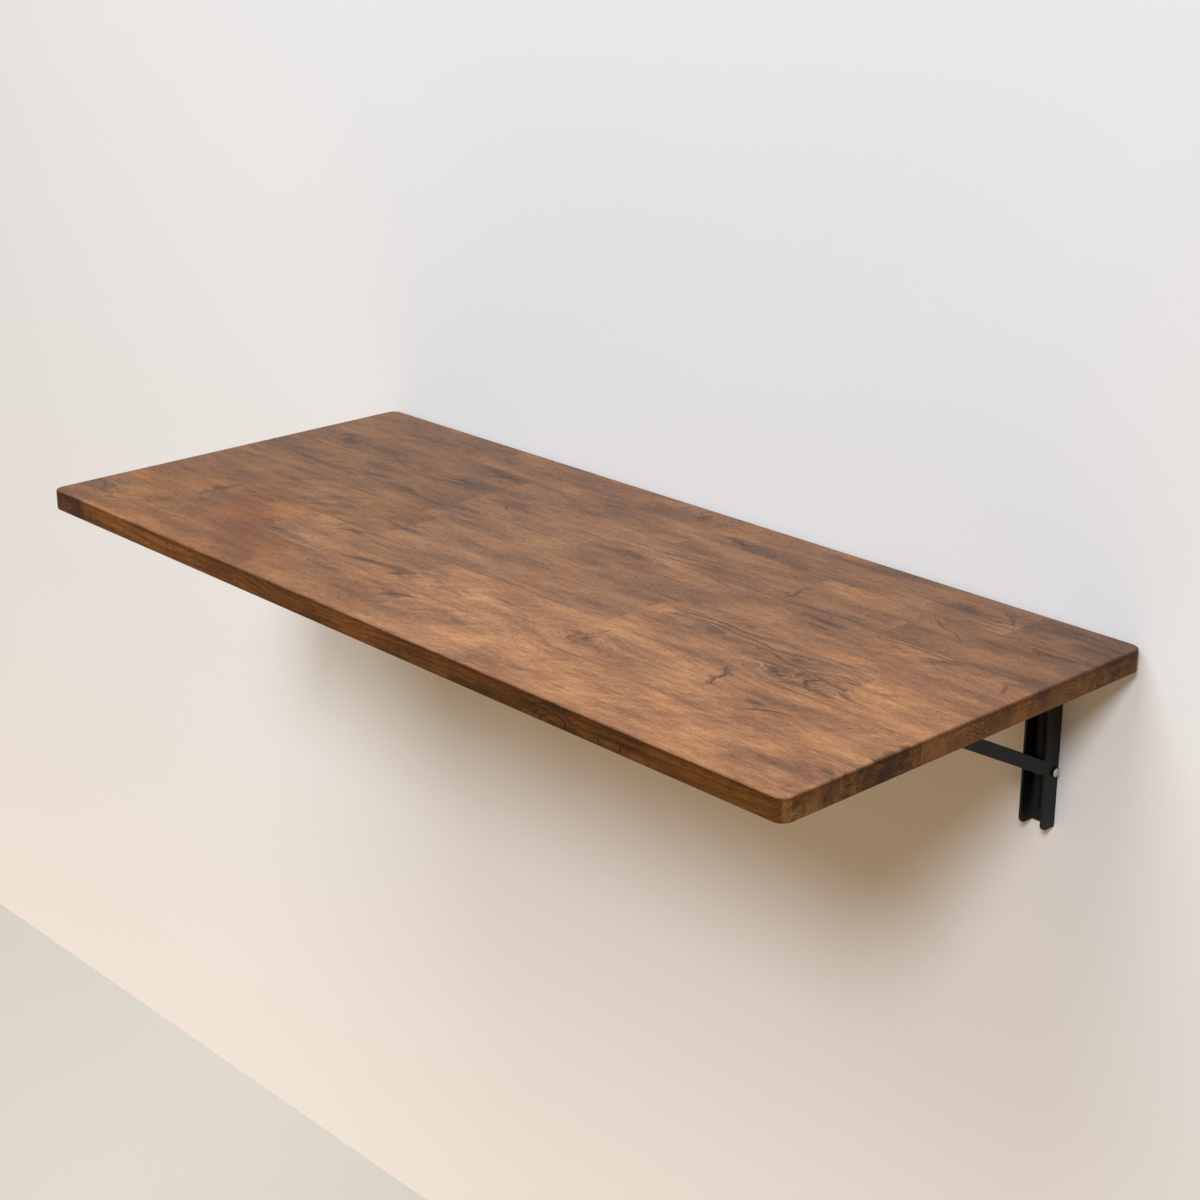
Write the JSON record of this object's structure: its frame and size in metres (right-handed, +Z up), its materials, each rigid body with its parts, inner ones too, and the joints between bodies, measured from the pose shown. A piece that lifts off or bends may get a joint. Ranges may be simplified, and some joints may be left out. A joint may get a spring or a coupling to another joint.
{
  "type": "wall mounted folding workbench",
  "caption": "Rectangular hardwood worktop on folding steel wall brackets: slotted arms, sliding braces and sprung release levers let it drop flat against the wall.",
  "frame": {"origin": "on the wall plane, half way along the worktop, level with its top face", "axes": "+X right along the worktop, +Y into the wall, +Z up"},
  "size_m": [0.914, 0.4447, 0.1746],
  "materials": {
    "walnut_wood": "satin stain",
    "black_coat": "satin powder coat",
    "bare_steel": "bare",
    "black_screw": "black oxide",
    "zinc_screw": "zinc plate",
    "white_nylon": "matte",
    "spring_steel": "drawn wire"
  },
  "bodies": {
    "wall_frame": {"wall_plate_left": "black_coat", "wall_plate_right": "black_coat", "fold_rivet_left": "bare_steel", "fold_rivet_right": "bare_steel", "fold_bush_left_inner": "white_nylon", "fold_bush_left_outer": "white_nylon", "fold_bush_right_inner": "white_nylon", "fold_bush_right_outer": "white_nylon", "brace_rivet_left": "bare_steel", "brace_rivet_right": "bare_steel", "brace_washer_left_inner": "black_coat", "brace_washer_left_outer": "black_coat", "brace_washer_right_inner": "black_coat", "brace_washer_right_outer": "black_coat", "wall_screw_left_upper": "black_screw", "wall_screw_left_lower": "black_screw", "wall_screw_right_upper": "black_screw", "wall_screw_right_lower": "black_screw"},
    "leaf": {"bench_top": "walnut_wood", "arm_left": "black_coat", "arm_right": "black_coat", "lever_pin_left": "bare_steel", "lever_pin_right": "bare_steel", "arm_screw_left_1": "zinc_screw", "arm_screw_left_2": "zinc_screw", "arm_screw_left_3": "zinc_screw", "arm_screw_left_4": "zinc_screw", "arm_screw_right_1": "zinc_screw", "arm_screw_right_2": "zinc_screw", "arm_screw_right_3": "zinc_screw", "arm_screw_right_4": "zinc_screw"},
    "left_brace": {"brace_left": "black_coat", "slide_pin_left": "bare_steel"},
    "right_brace": {"brace_right": "black_coat", "slide_pin_right": "bare_steel"},
    "left_lever": {"release_lever_left": "black_coat", "lever_spring_left": "spring_steel"},
    "right_lever": {"release_lever_right": "black_coat", "lever_spring_right": "spring_steel"}
  },
  "joints": [
    {"name": "fold", "type": "hinge", "parent": "wall_frame", "child": "leaf", "pos_m": [0, -0.009, -0.037], "axis": [1, 0, 0], "range_deg": [0, 90]},
    {"name": "brace_turn_left", "type": "hinge", "parent": "wall_frame", "child": "left_brace", "pos_m": [-0.3755, -0.009, -0.1238], "axis": [1, 0, 0], "range_deg": [0, 117.6]},
    {"name": "brace_turn_right", "type": "hinge", "parent": "wall_frame", "child": "right_brace", "pos_m": [0.3755, -0.009, -0.1238], "axis": [1, 0, 0], "range_deg": [0, 117.6]},
    {"name": "lever_pull_left", "type": "hinge", "parent": "leaf", "child": "left_lever", "pos_m": [-0.3755, -0.24503, -0.0265], "axis": [1, 0, 0], "range_deg": [0, 4.2], "stiffness_Nm_per_rad": 0.4, "springref_deg": -20.05},
    {"name": "lever_pull_right", "type": "hinge", "parent": "leaf", "child": "right_lever", "pos_m": [0.3755, -0.24503, -0.0265], "axis": [1, 0, 0], "range_deg": [0, 4.2], "stiffness_Nm_per_rad": 0.4, "springref_deg": -20.05}
  ],
  "couplings": [
    {"joint": "brace_turn_left", "follows": "fold", "ratio": 1.3067},
    {"joint": "brace_turn_right", "follows": "fold", "ratio": 1.3067}
  ]
}
